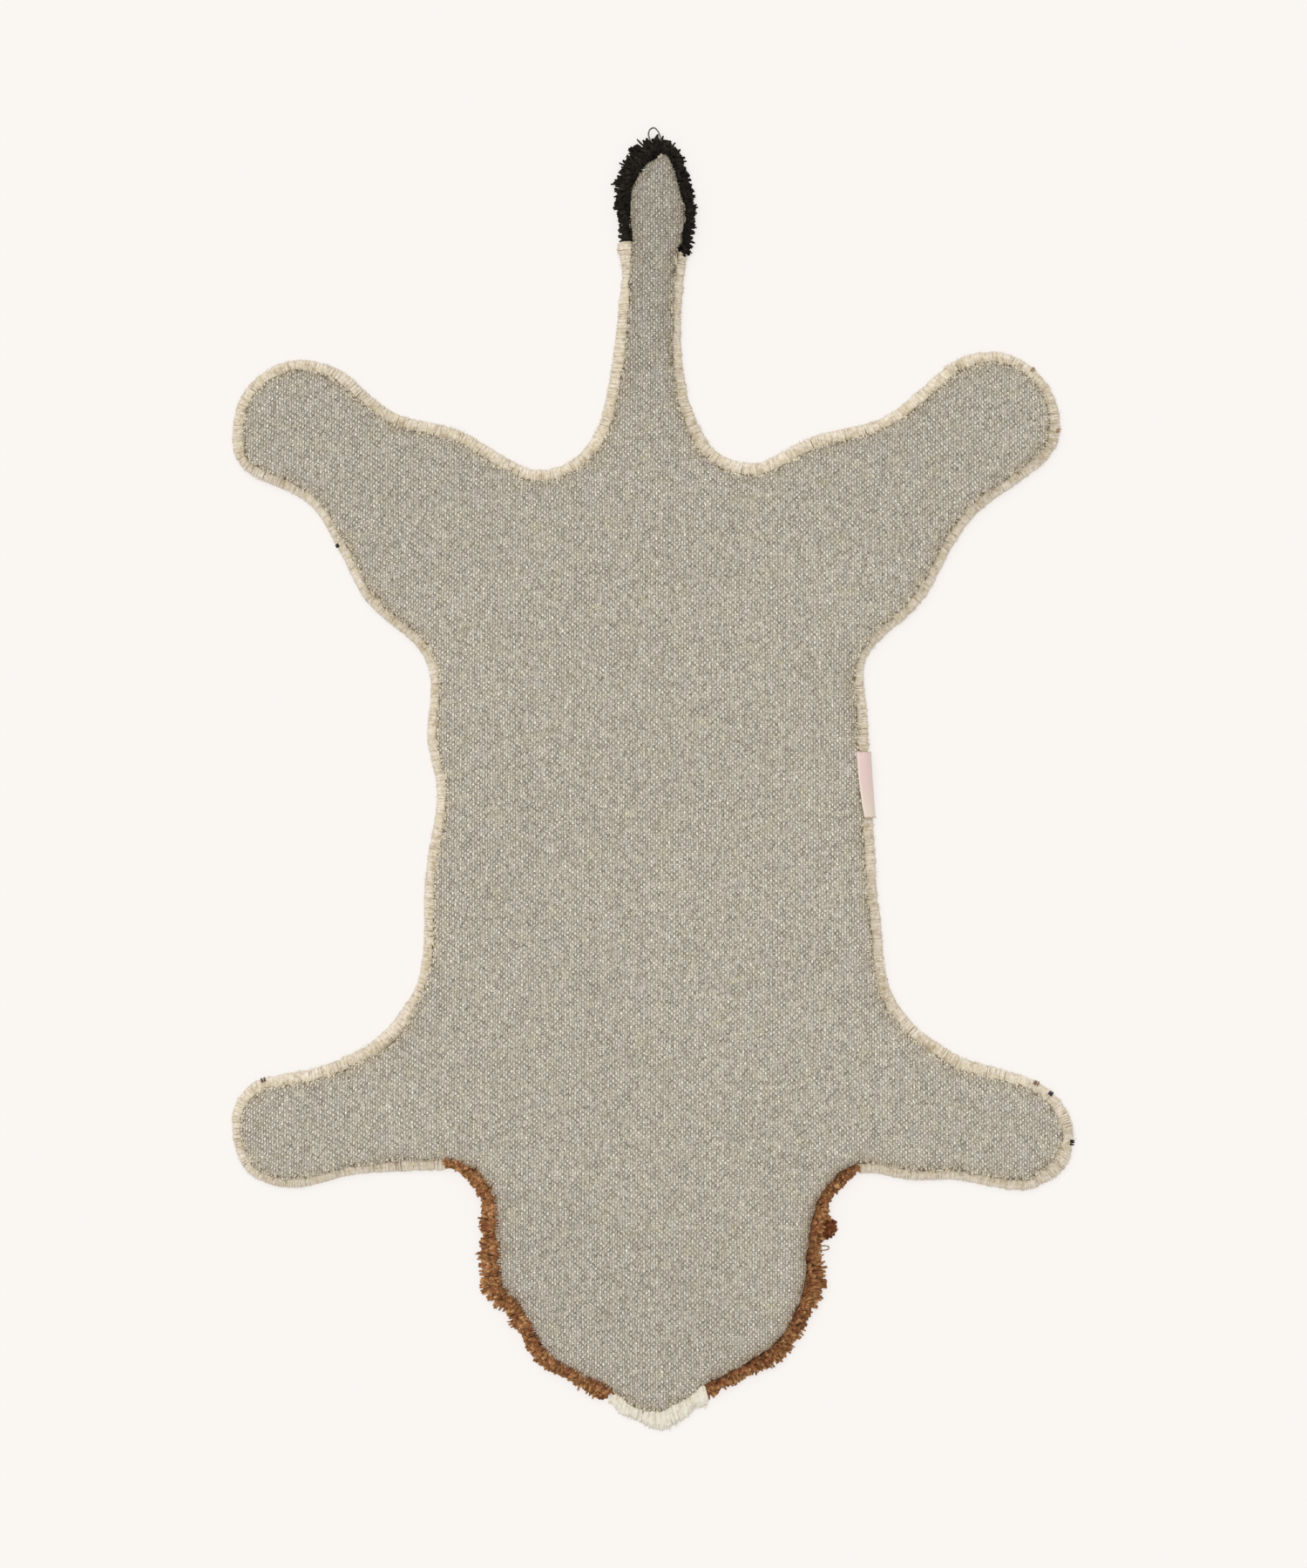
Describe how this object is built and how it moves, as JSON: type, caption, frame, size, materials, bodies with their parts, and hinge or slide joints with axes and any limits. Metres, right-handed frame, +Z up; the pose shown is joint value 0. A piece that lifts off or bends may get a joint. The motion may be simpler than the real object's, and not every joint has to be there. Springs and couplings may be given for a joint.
{
  "type": "animal hide shaped kids rug, lying face down",
  "caption": "Flat tufted rug in the outline of a four-legged animal hide with tail and head, woven backing up, pile rim showing all round.",
  "frame": {"origin": "on the floor, under the middle of the rug's box", "axes": "+Z up from the pile to the canvas, +Y along the rug from the head to the tail, +X to the right as the tail points away"},
  "size_m": [0.6454, 0.9936, 0.0133],
  "materials": {
    "backing_canvas": "coarse matte canvas, grey-beige ground with off-white warp flecks",
    "pile_cream": "matte cream cut yarn, short",
    "pile_black": "matte soft black cut yarn",
    "pile_rust": "matte rust brown cut yarn, long and shaggy",
    "pile_offwhite": "matte off-white cut yarn",
    "label_tape": "dusty pink woven tape, bare"
  },
  "bodies": {
    "root": {"backing_canvas": "backing_canvas", "pile_body": "pile_cream", "pile_tail_tip": "pile_black", "pile_mane": "pile_rust", "pile_muzzle": "pile_offwhite", "label": "label_tape"}
  },
  "joints": []
}
